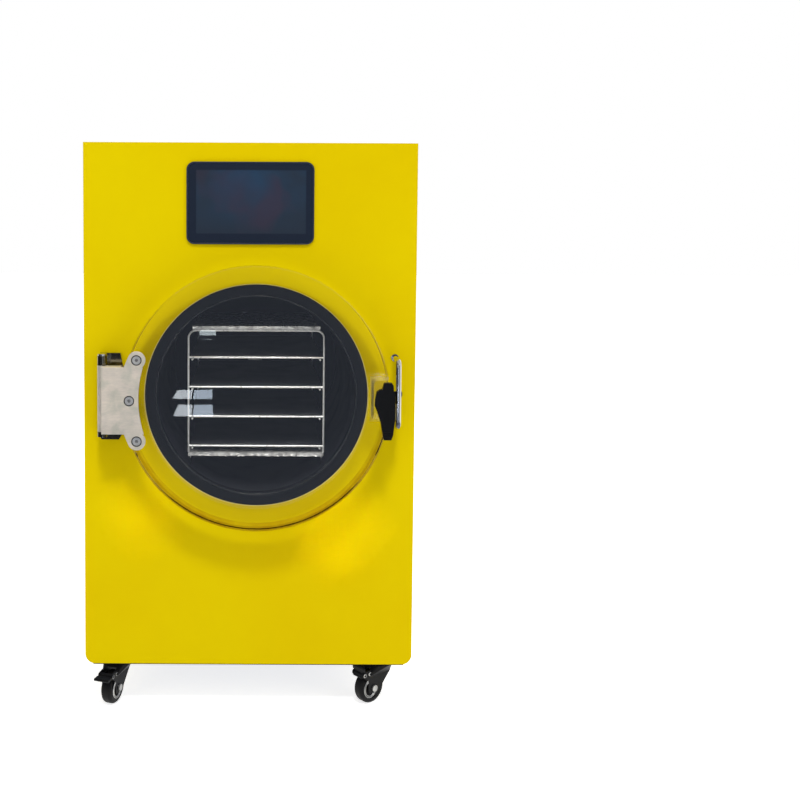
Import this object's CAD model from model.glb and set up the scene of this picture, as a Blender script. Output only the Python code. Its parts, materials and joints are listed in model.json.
"""Looks of a free-standing freeze dryer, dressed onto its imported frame.

Each sub-assembly is a class that holds its sizes and dresses its own parts. Each finish is a small frozen
class that writes one material, and effects that several finishes share are shader node groups.
"""

import json
import logging
import math
from dataclasses import dataclass
from enum import Enum
from functools import cache
from typing import Any, ClassVar, Sequence

import bmesh
import bpy
from mathutils import Matrix, Vector, noise


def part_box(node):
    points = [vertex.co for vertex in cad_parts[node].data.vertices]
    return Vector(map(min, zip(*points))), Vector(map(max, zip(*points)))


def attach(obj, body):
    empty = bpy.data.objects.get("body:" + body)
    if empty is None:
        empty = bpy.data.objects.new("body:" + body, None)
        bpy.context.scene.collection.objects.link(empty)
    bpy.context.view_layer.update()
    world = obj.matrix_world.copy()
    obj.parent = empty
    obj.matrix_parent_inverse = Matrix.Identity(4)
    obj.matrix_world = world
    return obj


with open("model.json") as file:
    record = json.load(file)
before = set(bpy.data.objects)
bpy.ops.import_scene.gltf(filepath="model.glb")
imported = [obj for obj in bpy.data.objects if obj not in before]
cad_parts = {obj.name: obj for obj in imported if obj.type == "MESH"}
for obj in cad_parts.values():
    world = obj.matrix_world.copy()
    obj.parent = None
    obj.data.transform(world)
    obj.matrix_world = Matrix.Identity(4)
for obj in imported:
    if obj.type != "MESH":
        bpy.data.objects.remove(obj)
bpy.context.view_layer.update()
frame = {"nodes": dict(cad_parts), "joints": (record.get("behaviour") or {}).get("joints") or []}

log = logging.getLogger("freeze_dryer")

Colour = tuple[float, float, float, float]
Tint = tuple[float, float, float]
Point = tuple[float, float, float]
Span = tuple[float, float]


def grey(level: float) -> Colour:
    """A neutral colour of one level."""
    return (level, level, level, 1.0)


def toned(colour: Colour, factor: float, lift: float = 0.0) -> Colour:
    """A darker or lighter version of a colour.

    Args:
        colour: the colour that it starts from.
        factor: what each part is multiplied by.
        lift: what is then added to each part.

    Returns:
        The new colour, with no part above 1.
    """
    return tuple(min(1.0, factor * part + lift) for part in colour[:3]) + (1.0,)


def full_turn(steps: int, closed: bool = False) -> list[float]:
    """Even angles round a full turn, in radians, with its end as well if closed."""
    return [2 * math.pi * step / steps for step in range(steps + closed)]


def node_middle(name: str) -> Vector:
    """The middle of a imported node's box, in metres."""
    low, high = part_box(name)
    return (low + high) / 2


def joint(name: str) -> dict[str, Any]:
    """A packed joint's own row."""
    return next(row for row in frame["joints"] if row["name"] == name)


# Fine enough for a round stage piece to show a smooth outline
CIRCLE = full_turn(64)

# The middle of the pocket milled into the door: a little left of the latch's post, and behind the front face
POCKET_LEFT = 0.0015
POCKET_BEHIND = 0.0073
POST = node_middle("latch_post")
LATCH_POCKET = Vector((POST.x - POCKET_LEFT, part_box("door_disc")[0].y + POCKET_BEHIND, POST.z))

# The display lies a little to the right of its glass's middle, and above it
DISPLAY_OFFSET = Vector((0.001, 0, 0.0018))

# The bottom reflector's dark legs begin this far below its sheet
LEGS_BELOW_SHEET = 0.008


# ---------------------------------------------------------------- node trees


class Wiring:
    """Adds nodes to one shader tree and joins them."""

    def __init__(self, tree: bpy.types.NodeTree) -> None:
        """Keep the tree to be filled."""
        self.tree = tree

    def supply(self, socket: bpy.types.NodeSocket, value: Any) -> None:
        """Give a socket a value, or join it to another node's output.

        Args:
            socket: the socket.
            value: what it takes.
        """
        if isinstance(value, bpy.types.NodeSocket):
            self.tree.links.new(value, socket)
        else:
            socket.default_value = value

    def add(self, kind: str, inputs: dict[Any, Any] | None = None, **settings: Any) -> bpy.types.Node:
        """Add one node.

        Args:
            kind: the node's type name, without its leading ShaderNode.
            inputs: what each socket takes, as a value or as another node's output.
            settings: the node's own settings.

        Returns:
            The new node.
        """
        node = self.tree.nodes.new("ShaderNode" + kind)
        for name, value in settings.items():
            setattr(node, name, value)
        for name, value in (inputs or {}).items():
            self.supply(node.inputs[name], value)
        return node

    def feed(self, node: bpy.types.Node, **values: Any) -> None:
        """Supply a node's sockets by name.

        Args:
            node: the node.
            values: what each socket takes, named with underscores for spaces.
        """
        for name, value in values.items():
            self.supply(node.inputs[name.replace("_", " ")], value)

    def place(self) -> bpy.types.NodeSocket:
        """The surface's own coordinates, in metres."""
        return self.add("TexCoord").outputs["Object"]

    def axis(self, vector: Any, name: str) -> bpy.types.NodeSocket:
        """One coordinate of a vector, X, Y or Z."""
        return self.add("SeparateXYZ", {0: vector}).outputs[name]

    def calc(self, operation: str, *values: Any, clamp: bool = False) -> bpy.types.NodeSocket:
        """One step of arithmetic on numbers.

        Args:
            operation: the Math node's operation.
            values: its operands, as numbers or sockets.
            clamp: keeps the result between 0 and 1.

        Returns:
            The result's socket.
        """
        node = self.add("Math", dict(enumerate(values)), operation=operation, use_clamp=clamp)
        return node.outputs[0]

    def vector(self, operation: str, *values: Any, out: int | str = 0) -> bpy.types.NodeSocket:
        """One step of arithmetic on vectors.

        Args:
            operation: the Vector Math node's operation.
            values: its operands, as vectors or sockets.
            out: the output that is wanted, which is "Value" for a product or a length.

        Returns:
            The result's socket.
        """
        return self.add("VectorMath", dict(enumerate(values)), operation=operation).outputs[out]

    def spread(
        self, value: Any, low: float, high: float, to_low: float = 0.0, to_high: float = 1.0
    ) -> bpy.types.NodeSocket:
        """Stretch a range of numbers onto another one.

        Args:
            value: the number's socket.
            low: the value that becomes to_low.
            high: the value that becomes to_high.
            to_low: start of the new range.
            to_high: end of the new range.

        Returns:
            The clamped result's socket.
        """
        ends = {"From Min": low, "From Max": high, "To Min": to_low, "To Max": to_high}
        return self.add("MapRange", {"Value": value, **ends}).outputs["Result"]

    def blend(self, share: Any, first: Any, second: Any) -> bpy.types.NodeSocket:
        """Mix two colours.

        Args:
            share: how much of the second one shows.
            first: a colour or socket.
            second: a colour or socket.

        Returns:
            The mixed colour's socket.
        """
        return self.add("Mix", {0: share, 6: first, 7: second}, data_type="RGBA").outputs[2]

    def noise(self, size: float, detail: float = 2.0, place: Any = None, **inputs: Any) -> bpy.types.NodeSocket:
        """Even noise between 0 and 1.

        Args:
            size: width of one blotch, in metres.
            detail: number of finer layers.
            place: coordinates, or None for the surface's own.
            inputs: further sockets by name.

        Returns:
            The noise's socket.
        """
        vector = self.place() if place is None else place
        values = {"Vector": vector, "Scale": 1 / size, "Detail": detail, **inputs}
        return self.add("TexNoise", values).outputs["Fac"]

    def bump(self, height: Any, depth: float, normal: Any = None) -> bpy.types.NodeSocket:
        """A normal from a height.

        Args:
            height: the height's socket, from 0 to 1.
            depth: what a height of 1 stands for, in metres.
            normal: the normal below it, if there is one.

        Returns:
            The normal's socket.
        """
        inputs = {"Height": height, "Distance": depth, "Strength": 1.0}
        if normal is not None:
            inputs["Normal"] = normal
        return self.add("Bump", inputs).outputs["Normal"]

    def looked_at(self) -> bpy.types.NodeSocket:
        """1 where the camera, a mirror or a lens looks, and 0 for light on its way between surfaces."""
        rays = self.add("LightPath").outputs
        mirrored = self.calc("MAXIMUM", rays["Is Glossy Ray"], rays["Is Transmission Ray"])
        return self.calc("MAXIMUM", rays["Is Camera Ray"], mirrored)


def bare_tree(owner: bpy.types.Material | bpy.types.World) -> Wiring:
    """The emptied node tree of a material or a world."""
    owner.use_nodes = True
    owner.node_tree.nodes.clear()
    return Wiring(owner.node_tree)


@dataclass(frozen=True)
class Blotches:
    """Soft patches of noise: their width, their finer layers, and the levels between which they come in."""

    width: float
    detail: float
    low: float
    high: float
    distortion: float = 0.0

    def mask(
        self, wiring: Wiring, place: Any = None, to_low: float = 0.0, to_high: float = 1.0
    ) -> bpy.types.NodeSocket:
        """How much of the patches shows at each point.

        Args:
            wiring: the tree that it is made in.
            place: coordinates, or None for the surface's own.
            to_low: the mask's value outside the patches.
            to_high: its value inside them.

        Returns:
            The mask's socket.
        """
        bent = {"Distortion": self.distortion} if self.distortion else {}
        cloud = wiring.noise(self.width, self.detail, place, **bent)
        return wiring.spread(cloud, self.low, self.high, to_low, to_high)


# ------------------------------------------------------------ shared effects


class Effect:
    """A shader node group that several finishes place with values of their own."""

    name: ClassVar[str] = ""
    inputs: ClassVar[dict[str, float]] = {}
    outputs: ClassVar[dict[str, str]] = {}

    @classmethod
    def fill(cls, wiring: Wiring, given: Any, wanted: Any) -> None:
        """Write the group's nodes.

        Args:
            wiring: the group's tree.
            given: the group's inputs, by name.
            wanted: the group's outputs, by name.
        """
        raise NotImplementedError

    @classmethod
    def tree(cls) -> bpy.types.NodeTree:
        """The group, made the first time that it is asked for."""
        found = bpy.data.node_groups.get(cls.name)
        if found:
            return found
        tree = bpy.data.node_groups.new(cls.name, "ShaderNodeTree")
        for name, value in cls.inputs.items():
            socket = tree.interface.new_socket(name, in_out="INPUT", socket_type="NodeSocketFloat")
            socket.default_value = value
        for name, kind in cls.outputs.items():
            tree.interface.new_socket(name, in_out="OUTPUT", socket_type="NodeSocket" + kind)
        given = tree.nodes.new("NodeGroupInput")
        wanted = tree.nodes.new("NodeGroupOutput")
        cls.fill(Wiring(tree), given.outputs, wanted.inputs)
        return tree

    @classmethod
    def put(cls, wiring: Wiring, **values: Any) -> Any:
        """Place the group in a material.

        Args:
            wiring: the material's tree.
            values: the group's inputs, with underscores for spaces.

        Returns:
            The group node's outputs.
        """
        node = wiring.add("Group", node_tree=cls.tree())
        wiring.feed(node, **values)
        return node.outputs


class SoftEdges(Effect):
    """Rounded arrises, and a mask of where they are rubbed."""

    name = "soft edges"
    inputs = {"Radius": 0.0006, "Wear": 0.5}
    outputs = {"Normal": "Vector", "Rubbed": "Float"}
    samples: ClassVar[int] = 4
    # Cosines between the rounded and the flat normal, from untouched to fully rubbed
    bend: ClassVar[Span] = (0.995, 0.80)
    patches: ClassVar[Blotches] = Blotches(0.012, 4.0, 0.42, 0.62)

    @classmethod
    def fill(cls, wiring: Wiring, given: Any, wanted: Any) -> None:
        """Compare the rounded normal with the flat one, and break the mask up with noise."""
        rounded = wiring.add("Bevel", {"Radius": given["Radius"]}, samples=cls.samples).outputs["Normal"]
        flat = wiring.add("NewGeometry").outputs["Normal"]
        edge = wiring.spread(wiring.vector("DOT_PRODUCT", rounded, flat, out="Value"), *cls.bend)
        broken = wiring.calc("MULTIPLY", edge, cls.patches.mask(wiring))
        wiring.supply(wanted["Normal"], rounded)
        wiring.supply(wanted["Rubbed"], wiring.calc("MULTIPLY", broken, given["Wear"], clamp=True))


class Crevices(Effect):
    """A mask of narrow gaps, sockets and inner corners, where grime stays and light doesn't reach."""

    name = "crevices"
    inputs = {"Reach": 0.003}
    outputs = {"Hidden": "Float"}
    samples: ClassVar[int] = 6
    # How open the surroundings are, from clean to fully grimy
    openness: ClassVar[Span] = (0.6, 0.15)

    @classmethod
    def fill(cls, wiring: Wiring, given: Any, wanted: Any) -> None:
        """How much of the near surroundings is closed in, with the open half cut off."""
        open_share = wiring.add("AmbientOcclusion", {"Distance": given["Reach"]}, samples=cls.samples).outputs["AO"]
        wiring.supply(wanted["Hidden"], wiring.spread(open_share, *cls.openness))


class OrangePeel(Effect):
    """The faint waves of sprayed and baked powder paint."""

    name = "orange peel"
    inputs = {"Width": 0.003}
    outputs = {"Height": "Float"}
    fine_share: ClassVar[float] = 0.7
    wide_share: ClassVar[float] = 1.6
    wide_width: ClassVar[float] = 0.05

    @classmethod
    def fill(cls, wiring: Wiring, given: Any, wanted: Any) -> None:
        """Two layers of soft noise, the second one wide and smooth."""
        scale = wiring.calc("DIVIDE", 1.0, given["Width"])
        place = wiring.place()
        fine = wiring.add("TexNoise", {"Vector": place, "Scale": scale, "Detail": 1.0}).outputs["Fac"]
        wide = wiring.noise(cls.wide_width, 1.0, place)
        fine = wiring.calc("MULTIPLY", fine, cls.fine_share)
        wide = wiring.calc("MULTIPLY", wide, cls.wide_share)
        wiring.supply(wanted["Height"], wiring.calc("ADD", fine, wide))


class Grain(Effect):
    """Straight scratches of brushing or rolling, along one axis."""

    name = "brushed grain"
    inputs = {"Along X": 1.0, "Along Y": 1.0, "Along Z": 1.0, "Width": 0.0004}
    outputs = {"Shade": "Float", "Height": "Float"}
    # The coarse layer's scale, as a share of the fine one's
    coarse_scale: ClassVar[float] = 0.15
    contrast: ClassVar[Span] = (0.3, 0.7)

    @classmethod
    def fill(cls, wiring: Wiring, given: Any, wanted: Any) -> None:
        """Noise squeezed along the scratches, in a fine and a coarse layer."""
        stretch = wiring.add("CombineXYZ", {axis: given[f"Along {axis}"] for axis in "XYZ"})
        place = wiring.vector("MULTIPLY", wiring.place(), stretch.outputs[0])
        scale = wiring.calc("DIVIDE", 1.0, given["Width"])
        fine = wiring.add("TexNoise", {"Vector": place, "Scale": scale, "Detail": 3.0}).outputs["Fac"]
        scale = wiring.calc("MULTIPLY", scale, cls.coarse_scale)
        coarse = wiring.add("TexNoise", {"Vector": place, "Scale": scale, "Detail": 2.0}).outputs["Fac"]
        shade = wiring.calc("MULTIPLY", wiring.calc("ADD", fine, coarse), 0.5)
        wiring.supply(wanted["Shade"], wiring.spread(shade, *cls.contrast))
        wiring.supply(wanted["Height"], fine)


class Handling(Effect):
    """Smudges, hairline scratches and light dust on a smooth surface."""

    name = "handling marks"
    inputs = {"Smudge": 0.5, "Scratch": 0.5, "Dust": 0.5}
    outputs = {"Smudges": "Float", "Scratches": "Float", "Dust": "Float"}
    smudges: ClassVar[Blotches] = Blotches(0.07, 3.0, 0.45, 0.75, distortion=0.6)
    dust: ClassVar[Blotches] = Blotches(0.004, 4.0, 0.35, 0.75)
    scratch_size: ClassVar[float] = 0.02
    scratch_bend: ClassVar[float] = 3.0
    # How far from the noise's middle level a scratch ends
    scratch_edge: ClassVar[Span] = (0.012, 0.0)
    # How far up a face looks before dust rests on it
    upward: ClassVar[Span] = (0.5, 1.0)

    @classmethod
    def fill(cls, wiring: Wiring, given: Any, wanted: Any) -> None:
        """Broad noise for smudges, thin bands of bent noise for scratches, and noise on upward faces for dust."""
        place = wiring.place()
        broad = cls.smudges.mask(wiring, place)
        bands = wiring.noise(cls.scratch_size, 6.0, place, Distortion=cls.scratch_bend)
        off_middle = wiring.calc("ABSOLUTE", wiring.calc("SUBTRACT", bands, 0.5))
        thin = wiring.spread(off_middle, *cls.scratch_edge)
        facing_up = wiring.spread(wiring.axis(wiring.add("NewGeometry").outputs["Normal"], "Z"), *cls.upward)
        resting = wiring.calc("MULTIPLY", facing_up, cls.dust.mask(wiring, place))
        for value, amount, name in (
            (broad, "Smudge", "Smudges"), (thin, "Scratch", "Scratches"), (resting, "Dust", "Dust"),
        ):
            wiring.supply(wanted[name], wiring.calc("MULTIPLY", value, given[amount], clamp=True))


class Speckle(Effect):
    """Small specks, as in moulded rubber, cast metal or foam."""

    name = "speckle"
    inputs = {"Width": 0.001, "Share": 0.5}
    outputs = {"Specks": "Float", "Height": "Float"}
    # Distances from a cell's middle, as shares of its width, from no speck to a full one
    speck: ClassVar[Span] = (0.45, 0.15)

    @classmethod
    def fill(cls, wiring: Wiring, given: Any, wanted: Any) -> None:
        """Cell noise for the specks and soft noise for the height."""
        scale = wiring.calc("DIVIDE", 1.0, given["Width"])
        place = wiring.place()
        cells = wiring.add("TexVoronoi", {"Vector": place, "Scale": scale}).outputs["Distance"]
        soft = wiring.add("TexNoise", {"Vector": place, "Scale": scale, "Detail": 3.0}).outputs["Fac"]
        specks = wiring.calc("MULTIPLY", wiring.spread(cells, *cls.speck), given["Share"], clamp=True)
        wiring.supply(wanted["Specks"], specks)
        wiring.supply(wanted["Height"], wiring.calc("ADD", wiring.calc("MULTIPLY", cells, 0.5), soft))


# ------------------------------------------------------------------ finishes


# What settles on a surface or in its corners
GRIME: Colour = (0.02, 0.018, 0.016, 1.0)
DUST: Colour = (0.35, 0.33, 0.3, 1.0)
LINT: Colour = (0.16, 0.15, 0.14, 1.0)


@dataclass(frozen=True)
class Finish:
    """One material, written by its own nodes."""

    name: str

    def dress(self, wiring: Wiring, shader: bpy.types.Node, sink: bpy.types.Node) -> None:
        """Write the finish's nodes.

        Args:
            wiring: the material's tree.
            shader: its Principled shader.
            sink: its output node.
        """
        raise NotImplementedError

    @cache
    def material(self) -> bpy.types.Material:
        """The finish's material, made the first time that it is asked for."""
        made = bpy.data.materials.new(self.name)
        wiring = bare_tree(made)
        shader = wiring.add("BsdfPrincipled")
        sink = wiring.add("OutputMaterial", {"Surface": shader.outputs[0]})
        self.dress(wiring, shader, sink)
        return made


@dataclass(frozen=True)
class PowderCoat(Finish):
    """Sprayed powder paint on sheet steel."""

    colour: Colour
    shade: Colour
    roughness: float = 0.3
    peel: float = 0.003
    peel_depth: float = 0.00001
    specular: float = 0.25
    wear: float = 0.35
    edge_r: float = 0.0012
    patches: Blotches = Blotches(0.25, 3.0, 0.35, 0.68)
    rubbed_share: float = 0.7
    rubbed_lift: float = 0.12
    smudge_rough: float = 0.12
    dust_rough: float = 0.3

    def dress(self, wiring: Wiring, shader: bpy.types.Node, sink: bpy.types.Node) -> None:
        """Slightly uneven paint with orange peel, soft arrises and a little dust."""
        edges = SoftEdges.put(wiring, Radius=self.edge_r, Wear=self.wear)
        marks = Handling.put(wiring, Smudge=0.5, Scratch=0.15, Dust=0.25)
        paint = wiring.blend(self.patches.mask(wiring), self.colour, self.shade)
        rubbed = wiring.blend(edges["Rubbed"], paint, toned(self.colour, self.rubbed_share, self.rubbed_lift))
        rough = wiring.calc("ADD", wiring.calc("MULTIPLY", marks["Smudges"], self.smudge_rough), self.roughness)
        rough = wiring.calc("ADD", rough, wiring.calc("MULTIPLY", marks["Dust"], self.dust_rough))
        peel = OrangePeel.put(wiring, Width=self.peel)
        normal = wiring.bump(peel["Height"], self.peel_depth, edges["Normal"])
        wiring.feed(shader, Base_Color=rubbed, Roughness=rough, Normal=normal, Specular_IOR_Level=self.specular)


@dataclass(frozen=True)
class Steel(Finish):
    """Bare metal, brushed along one axis or polished."""

    colour: Colour
    roughness: float = 0.25
    uneven: float = 0.12
    along: Point = (1.0, 1.0, 0.03)
    grain_width: float = 0.0006
    grain_depth: float = 0.000004
    metallic: float = 1.0
    patina: Colour = (0.6, 0.6, 0.6, 1.0)
    patina_share: float = 0.15
    grime: float = 0.003
    edge_r: float = 0.0005
    clouds: Blotches = Blotches(0.03, 4.0, 0.42, 0.62, distortion=0.8)
    dark_share: float = 0.82
    bright_share: float = 1.15

    def dress(self, wiring: Wiring, shader: bpy.types.Node, sink: bpy.types.Node) -> None:
        """Grain in colour, roughness and height, with handling marks, grime and bright arrises."""
        edges = SoftEdges.put(wiring, Radius=self.edge_r, Wear=0.6)
        marks = Handling.put(wiring, Smudge=0.7, Scratch=0.35, Dust=0.1)
        x, y, z = self.along
        grain = Grain.put(wiring, Along_X=x, Along_Y=y, Along_Z=z, Width=self.grain_width)
        metal = wiring.blend(grain["Shade"], toned(self.colour, self.dark_share), self.colour)
        metal = wiring.blend(self.clouds.mask(wiring, to_high=self.patina_share), metal, self.patina)
        metal = wiring.blend(edges["Rubbed"], metal, toned(self.colour, self.bright_share))
        metal = wiring.blend(Crevices.put(wiring, Reach=self.grime)["Hidden"], metal, GRIME)
        rough = wiring.calc("ADD", wiring.calc("MULTIPLY", grain["Shade"], self.uneven), self.roughness)
        rough = wiring.calc("ADD", rough, wiring.calc("MULTIPLY", marks["Smudges"], self.uneven))
        normal = wiring.bump(grain["Height"], self.grain_depth, edges["Normal"])
        wiring.feed(shader, Base_Color=metal, Roughness=rough, Metallic=self.metallic, Normal=normal)


@dataclass(frozen=True)
class CrumpledFoil(Finish):
    """Thin bright sheet with soft dents, and dark legs below a height."""

    colour: Colour
    dent: float = 0.018
    dent_depth: float = 0.003
    roughness: float = 0.22
    metallic: float = 0.5
    legs_below: float = 0.0
    leg_level: float = 0.012
    wave_size: float = 0.6
    wave_share: float = 0.6
    wave_shade: Span = (0.35, 0.6)
    dark_share: float = 0.45
    smudge_rough: float = 0.15

    def dress(self, wiring: Wiring, shader: bpy.types.Node, sink: bpy.types.Node) -> None:
        """Angular dents over soft waves."""
        place = wiring.place()
        dents = wiring.add("TexVoronoi", {"Vector": place, "Scale": 1 / self.dent}, feature="SMOOTH_F1")
        waves = wiring.noise(self.dent * self.wave_size, 3.0, place)
        height = wiring.calc("ADD", dents.outputs["Distance"], wiring.calc("MULTIPLY", waves, self.wave_share))
        marks = Handling.put(wiring, Smudge=0.6, Scratch=0.4, Dust=0.1)
        rough = wiring.calc("ADD", wiring.calc("MULTIPLY", marks["Smudges"], self.smudge_rough), self.roughness)
        tone = wiring.spread(waves, *self.wave_shade)
        tone = wiring.blend(tone, toned(self.colour, self.dark_share), self.colour)
        legs = wiring.calc("LESS_THAN", wiring.axis(place, "Z"), self.legs_below)
        tone = wiring.blend(legs, tone, grey(self.leg_level))
        normal = wiring.bump(height, self.dent_depth)
        wiring.feed(shader, Base_Color=tone, Roughness=rough, Metallic=self.metallic, Normal=normal)


@dataclass(frozen=True)
class Moulded(Finish):
    """Moulded plastic, rubber, enamel or anodised metal, dark or coloured."""

    colour: Colour
    bare: Colour
    roughness: float = 0.45
    speck: float = 0.0008
    speck_depth: float = 0.00003
    specular: float = 0.5
    dust: float = 0.4
    metallic: float = 0.0
    edge_r: float = 0.0006
    dust_share: float = 0.35
    smudge_rough: float = 0.14
    dust_rough: float = 0.25

    def dress(self, wiring: Wiring, shader: bpy.types.Node, sink: bpy.types.Node) -> None:
        """Fine texture, smudges, dust on upward faces and rubbed arrises."""
        edges = SoftEdges.put(wiring, Radius=self.edge_r, Wear=0.45)
        marks = Handling.put(wiring, Smudge=0.8, Scratch=0.25, Dust=self.dust)
        grit = Speckle.put(wiring, Width=self.speck, Share=0.35)
        base = wiring.blend(grit["Specks"], self.colour, self.bare)
        base = wiring.blend(edges["Rubbed"], base, self.bare)
        dusty = wiring.blend(wiring.calc("MULTIPLY", marks["Dust"], self.dust_share), base, DUST)
        rough = wiring.calc("ADD", wiring.calc("MULTIPLY", marks["Smudges"], self.smudge_rough), self.roughness)
        rough = wiring.calc("ADD", rough, wiring.calc("MULTIPLY", marks["Dust"], self.dust_rough), clamp=True)
        normal = wiring.bump(grit["Height"], self.speck_depth, edges["Normal"])
        wiring.feed(
            shader, Base_Color=dusty, Roughness=rough, Metallic=self.metallic, Normal=normal,
            Specular_IOR_Level=self.specular,
        )


@dataclass(frozen=True)
class Foam(Finish):
    """Cut closed-cell foam."""

    colour: Colour
    cell: float = 0.0015
    roughness: float = 0.95
    blotches: Blotches = Blotches(0.06, 4.0, 0.35, 0.7)
    blotch_share: float = 0.85
    pit_share: float = 0.55
    pit_depth: float = 0.0006

    def dress(self, wiring: Wiring, shader: bpy.types.Node, sink: bpy.types.Node) -> None:
        """Open cells with darker pits."""
        grit = Speckle.put(wiring, Width=self.cell, Share=0.8)
        pale = wiring.blend(self.blotches.mask(wiring), self.colour, toned(self.colour, self.blotch_share))
        tone = wiring.blend(grit["Specks"], pale, toned(self.colour, self.pit_share))
        wiring.feed(
            shader, Base_Color=tone, Roughness=self.roughness, Normal=wiring.bump(grit["Height"], self.pit_depth)
        )


@dataclass(frozen=True)
class Finned(Finish):
    """Thin fins of bare metal, seen edge on."""

    colour: Colour
    pitch: float = 0.0022
    # Where a fin begins and is full, as shares of the pitch from the middle of its gap
    fin_edge: Span = (0.12, 0.24)
    lint: Blotches = Blotches(0.02, 5.0, 0.5, 0.75)
    gap_level: float = 0.02
    gap_rough: float = 0.85
    fin_rough: float = 0.38
    metallic: float = 0.9
    fin_depth: float = 0.0006

    def dress(self, wiring: Wiring, shader: bpy.types.Node, sink: bpy.types.Node) -> None:
        """Upright stripes of fin edges with dark gaps and lint between them."""
        place = wiring.place()
        wave = wiring.calc("PINGPONG", wiring.axis(place, "X"), self.pitch / 2)
        start, full = self.fin_edge
        fin = wiring.spread(wave, self.pitch * start, self.pitch * full)
        gap = wiring.blend(self.lint.mask(wiring, place), grey(self.gap_level), LINT)
        tone = wiring.blend(fin, gap, self.colour)
        rough = wiring.spread(fin, 0.0, 1.0, self.gap_rough, self.fin_rough)
        metallic = wiring.calc("MULTIPLY", fin, self.metallic)
        normal = wiring.bump(fin, self.fin_depth)
        wiring.feed(shader, Base_Color=tone, Roughness=rough, Metallic=metallic, Normal=normal)


@dataclass(frozen=True)
class ClearSheet(Finish):
    """Thick clear acrylic with polished faces, a toned rim and, in a milled pocket, frosted walls."""

    tint: Colour
    pocket: Point
    pocket_reach: Point
    middle: Point
    radius: float
    ior: float = 1.49
    rim_shade: Colour = (0.2, 0.14, 0.08, 1.0)
    edge_tint: Colour = (0.97, 0.93, 0.84, 1.0)
    # How squarely a face looks along the door's axis, from no rim to all rim
    rim_turn: Span = (0.6, 0.3)
    band: float = 0.008
    band_soft: float = 0.0004
    band_tint: Colour = (0.55, 0.38, 0.22, 1.0)
    # Heights above the disc's middle between which the band comes in
    band_height: Span = (0.08, -0.12)
    streaks: Blotches = Blotches(0.03, 2.0, 0.3, 0.7)
    streak_low: float = 0.55
    frost_tint: Colour = (0.97, 0.96, 0.9, 1.0)
    frost_rough: float = 0.5
    smudge_rough: float = 0.02
    scratch_rough: float = 0.05
    swirl: float = 0.02
    swirl_depth: float = 0.000004
    passed_tint: Colour = (0.97, 0.97, 0.95, 1.0)

    def dress(self, wiring: Wiring, shader: bpy.types.Node, sink: bpy.types.Node) -> None:
        """Glass that lets lamplight through, with hairlines, an amber lower edge and a frosted pocket."""
        place = wiring.place()
        frost = self.in_pocket(wiring, place)
        marks = Handling.put(wiring, Smudge=0.6, Scratch=0.5, Dust=0.2)
        smudged = wiring.calc("MULTIPLY", marks["Smudges"], self.smudge_rough)
        handled = wiring.calc("ADD", smudged, wiring.calc("MULTIPLY", marks["Scratches"], self.scratch_rough))
        outward = wiring.add(
            "VectorTransform", {0: wiring.add("NewGeometry").outputs["True Normal"]},
            vector_type="NORMAL", convert_from="WORLD", convert_to="OBJECT",
        )
        facing_out = wiring.axis(outward.outputs[0], "Y")
        rim = wiring.spread(wiring.calc("ABSOLUTE", facing_out), *self.rim_turn)
        rough = wiring.calc("ADD", handled, wiring.calc("MULTIPLY", frost, self.frost_rough))
        tone = wiring.blend(rim, self.tint, self.edge_tint)
        tone = wiring.blend(self.edge_band(wiring, place), tone, self.band_tint)
        tone = wiring.blend(frost, tone, self.frost_tint)
        swirl = wiring.noise(self.swirl, 2.0, place)
        wiring.feed(
            shader, Base_Color=tone, Roughness=rough, IOR=self.ior, Transmission_Weight=1.0,
            Normal=wiring.bump(swirl, self.swirl_depth),
        )
        passed = wiring.blend(rim, self.passed_tint, self.rim_shade)
        open_air = wiring.add("BsdfTransparent", {"Color": passed})
        rays = wiring.add("LightPath")
        passing = wiring.calc("MAXIMUM", rays.outputs["Is Shadow Ray"], rays.outputs["Is Diffuse Ray"])
        both = wiring.add("MixShader", {0: passing, 1: shader.outputs[0], 2: open_air.outputs[0]})
        wiring.supply(sink.inputs["Surface"], both.outputs[0])

    def in_pocket(self, wiring: Wiring, place: Any) -> bpy.types.NodeSocket:
        """1 inside the box of the milled pocket and 0 outside it.

        Args:
            wiring: the material's tree.
            place: the surface's own coordinates.

        Returns:
            The mask's socket.
        """
        inside = wiring.vector("DIVIDE", wiring.vector("SUBTRACT", place, self.pocket), self.pocket_reach)
        parts = wiring.add("SeparateXYZ", {0: wiring.vector("ABSOLUTE", inside)}).outputs
        farthest = wiring.calc("MAXIMUM", wiring.calc("MAXIMUM", parts[0], parts[1]), parts[2])
        return wiring.calc("LESS_THAN", farthest, 1.0)

    def edge_band(self, wiring: Wiring, place: Any) -> bpy.types.NodeSocket:
        """A streaky band along the lower half of the disc's edge.

        Args:
            wiring: the material's tree.
            place: the surface's own coordinates.

        Returns:
            The mask's socket.
        """
        spoke = wiring.vector("SUBTRACT", place, self.middle)
        spoke = wiring.vector("MULTIPLY", spoke, (1.0, 0.0, 1.0))
        start = self.radius - self.band
        band = wiring.spread(wiring.vector("LENGTH", spoke, out="Value"), start - self.band_soft, start)
        low_half = wiring.spread(wiring.axis(spoke, "Z"), *self.band_height)
        streaks = self.streaks.mask(wiring, place, to_low=self.streak_low)
        return wiring.calc("MULTIPLY", wiring.calc("MULTIPLY", band, low_half), streaks)


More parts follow.
